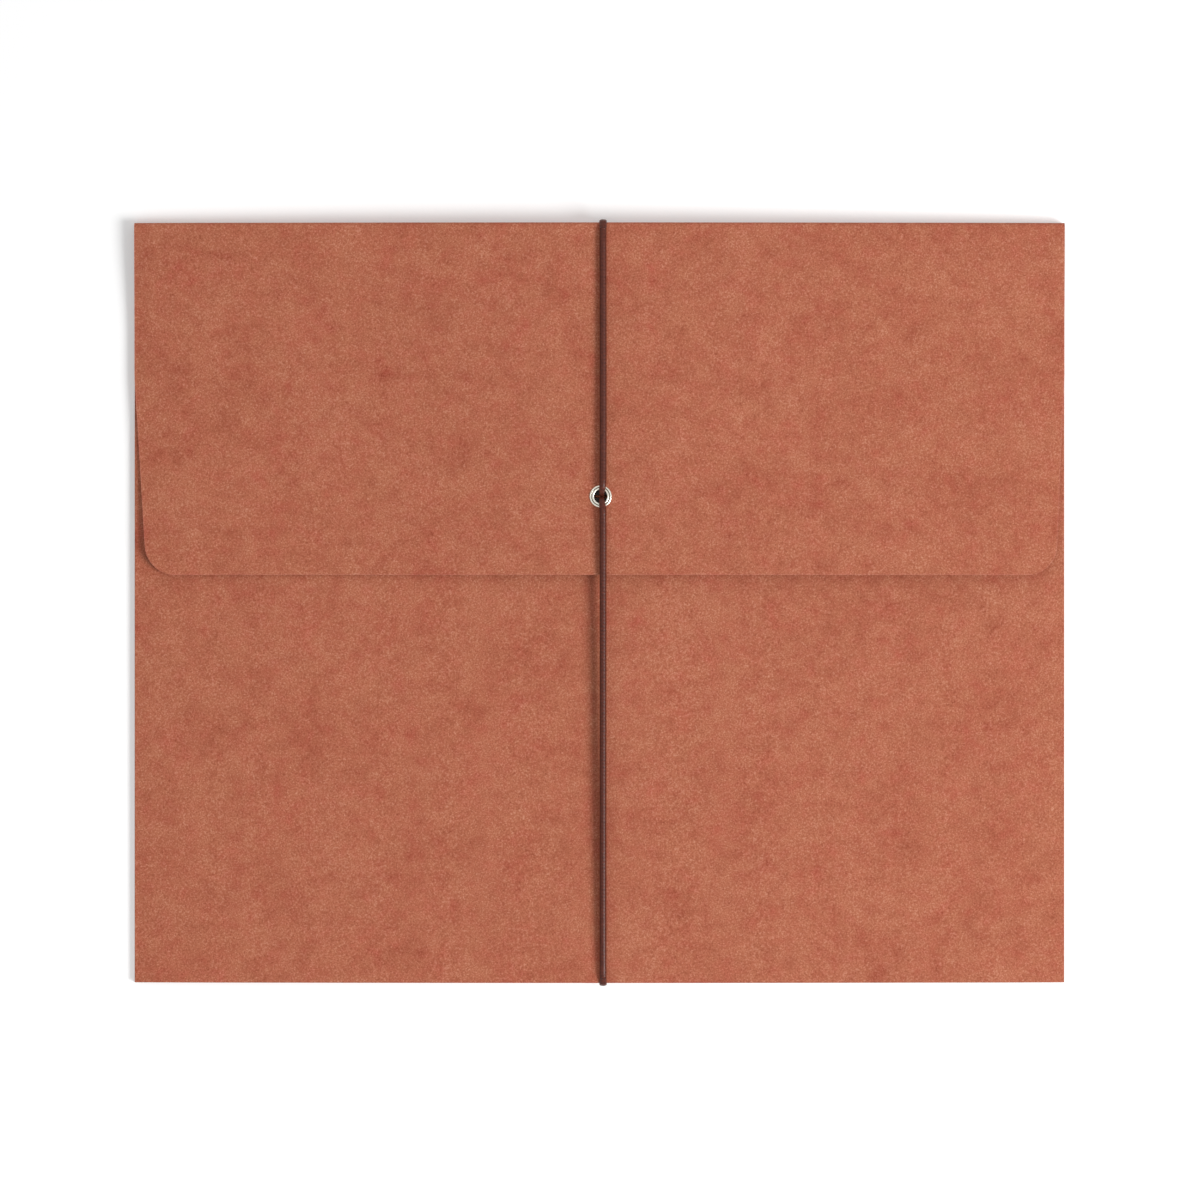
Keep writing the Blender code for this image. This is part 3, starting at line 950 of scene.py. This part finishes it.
tree.links.new(shader.outputs["BSDF"], output.inputs["Surface"])


def cord_piece(name, first, last):
    """Carry the cord's oval section along a stretch of the loop, and close its ends.

    The UV map gives the turn round the cord, from 0 to 1, and the metres along it.
    """
    part = loop[first:last]
    along = np.gradient(part[:, :3], axis=0)
    along /= np.linalg.norm(along, axis=1, keepdims=True)
    aside = np.array([1.0, 0, 0]) - along[:, :1] * along
    aside /= np.linalg.norm(aside, axis=1, keepdims=True)
    out = np.cross(along, aside)
    turn = np.linspace(0, 2 * np.pi, cord_sides, endpoint=False)
    points = (
        part[:, None, :3]
        + (part[:, 3:4] * np.cos(turn))[:, :, None] * aside[:, None, :]
        + (part[:, 4:5] * np.sin(turn))[:, :, None] * out[:, None, :]
    )
    quads = grid_faces(len(part), cord_sides, False, True)
    ends = [np.arange(cord_sides), (len(part) - 1) * cord_sides + np.arange(cord_sides)[::-1]]
    piece = add_piece(name, points, list(quads[:, ::-1]) + ends, braided_elastic)
    row, column = np.divmod(np.arange(len(quads)), cord_sides)
    corners = np.empty((len(quads), 4, 2))
    corners[:, :, 0] = (column[:, None] + [1, 1, 0, 0]) / cord_sides
    corners[:, :, 1] = even[first + row[:, None] + [0, 1, 1, 0]]
    cover = piece.data.uv_layers.new(name="cover")
    cover.data.foreach_set("uv", np.concatenate([corners.ravel(), np.zeros(4 * cord_sides)]))
    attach(piece, "flap")
    return piece


def at(y, front):
    """Index of the loop's ring nearest to y, on its front or its back.

    A ring on the other side counts as a metre further away.
    """
    on_side = (loop[:, 2] > (front_top_z + back_z) / 2) == front
    return int(np.argmin(np.abs(loop[:, 1] - y) + 1.0 * ~on_side))


top_turn, bottom_turn = at(top_y - turn_start, True), at(bottom_y + turn_start, True)
parting = at(flap_end_y, False)
upper_run = cord_piece("elastic_upper", 0, top_turn + 1)
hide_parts("elastic_upper_run")
lower_run = cord_piece("elastic_lower", bottom_turn, len(loop))
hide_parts("elastic_lower_run")
# With the flap open the loop is off the wallet: its back strands ride the flap with the front ones.
upper_back = cord_piece("elastic_upper_back", top_turn, parting + 1)
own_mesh(upper_back)
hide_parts("elastic_back_run")
lower_back = cord_piece("elastic_lower_back", parting, bottom_turn + 1)
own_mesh(lower_back)
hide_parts("elastic_back_run")


# Table and light: a white table top, a large soft lamp from the lower right and a pale room.
# The table adds a little light of its own for the camera, more towards the lamp, so that it goes white
# and keeps the shadow. The room is lighter at the upper left, across from the lamp.
table_half = 2.0
table_glow = (0.215, 0.4)
glow_way, glow_reach = (0.54, -0.84, 0.0), 0.13
lamp_direction = np.array([1.0, -0.45, 0.95])
lamp_distance = 2.6
lamp_size = 1.3
lamp_watts = 55.0
room_light = 0.45
room_lean = (-0.5, 0.8, 0.0)


def seen_share(tree):
    """1 for rays from the camera, also by a reflection or through glass, and 0 for all others."""
    path = add_node(tree, "ShaderNodeLightPath")
    seen = path.outputs["Is Camera Ray"]
    for ray in ("Is Glossy Ray", "Is Transmission Ray"):
        larger = add_node(tree, "ShaderNodeMath", {0: seen, 1: path.outputs[ray]}, operation="MAXIMUM")
        seen = larger.outputs[0]
    return seen


table_material, tree, output = new_material("white table top")
diffuse = add_node(tree, "ShaderNodeBsdfDiffuse", {"Color": srgb("#F5F5F5")})
seen = seen_share(tree)
place = add_node(tree, "ShaderNodeTexCoord").outputs["Object"]
towards_lamp = add_node(tree, "ShaderNodeVectorMath", {0: place, 1: glow_way}, operation="DOT_PRODUCT")
glow = add_node(
    tree,
    "ShaderNodeMapRange",
    {
        "Value": towards_lamp.outputs["Value"],
        "From Min": -glow_reach,
        "From Max": glow_reach,
        "To Min": table_glow[0],
        "To Max": table_glow[1],
    },
)
strength = add_node(tree, "ShaderNodeMath", {0: seen, 1: glow.outputs["Result"]}, operation="MULTIPLY")
shine = add_node(tree, "ShaderNodeEmission", {"Color": srgb("#FFFFFF"), "Strength": strength.outputs[0]})
both = add_node(tree, "ShaderNodeAddShader", {0: diffuse.outputs[0], 1: shine.outputs[0]})
tree.links.new(both.outputs[0], output.inputs["Surface"])

table_edges = np.array([-table_half, table_half])
table_points = np.zeros((2, 2, 3))
table_points[:, :, 0] = table_edges[None, :]
table_points[:, :, 1] = table_edges[::-1, None]
add_piece("table_top", table_points, grid_faces(2, 2), table_material)

lamp = bpy.data.lights.new("soft lamp", "AREA")
lamp.shape = "DISK"
lamp.energy = lamp_watts
lamp.size = lamp_size
lamp_object = bpy.data.objects.new("soft_lamp", lamp)
bpy.context.scene.collection.objects.link(lamp_object)
lamp_object.visible_camera = False
lamp_object.location = lamp_distance * lamp_direction / np.linalg.norm(lamp_direction)
lamp_object.rotation_euler = (
    math.atan2(math.hypot(lamp_direction[0], lamp_direction[1]), lamp_direction[2]),
    0,
    math.atan2(lamp_direction[1], lamp_direction[0]) + math.pi / 2,
)

world = bpy.data.worlds.new("pale room")
bpy.context.scene.world = world
world.use_nodes = True
tree = world.node_tree
tree.nodes.clear()
seen = seen_share(tree)
way_out = add_node(tree, "ShaderNodeTexCoord").outputs["Generated"]
leaning = add_node(tree, "ShaderNodeVectorMath", {0: way_out, 1: room_lean}, operation="DOT_PRODUCT")
leaning = add_node(
    tree,
    "ShaderNodeMath",
    {0: leaning.outputs["Value"], 1: room_light, 2: room_light},
    operation="MULTIPLY_ADD",
)
lit = add_node(tree, "ShaderNodeBackground", {"Color": srgb("#FFFFFF"), "Strength": leaning.outputs[0]})
shown = add_node(tree, "ShaderNodeBackground", {"Color": srgb("#FFFFFF"), "Strength": 1.0})
mix = add_node(tree, "ShaderNodeMixShader", {0: seen, 1: lit.outputs[0], 2: shown.outputs[0]})
add_node(tree, "ShaderNodeOutputWorld", {"Surface": mix.outputs[0]})


# Camera: straight down on the wallet through a long lens. Its distance and place follow from the wallet's
# width and middle in the photograph, both in its pixels, of which it is 1200 wide and high.
photo_side = 1200
wallet_pixels = 931.2
wallet_middle_pixel = (599.45, 602.8)
lens = 200.0
picture_height = float(front_high[2])

pixel = 2 * half_width / wallet_pixels
camera_data = bpy.data.cameras.new("camera")
camera_data.lens = lens
camera_distance = photo_side * pixel * lens / camera_data.sensor_width
camera_data.clip_end = 10 * camera_distance
camera = bpy.data.objects.new("camera", camera_data)
camera.location = (
    (photo_side / 2 - wallet_middle_pixel[0]) * pixel,
    (wallet_middle_pixel[1] - photo_side / 2) * pixel,
    picture_height + camera_distance,
)
bpy.context.scene.collection.objects.link(camera)
bpy.context.scene.camera = camera
bpy.context.scene.view_settings.view_transform = "Standard"
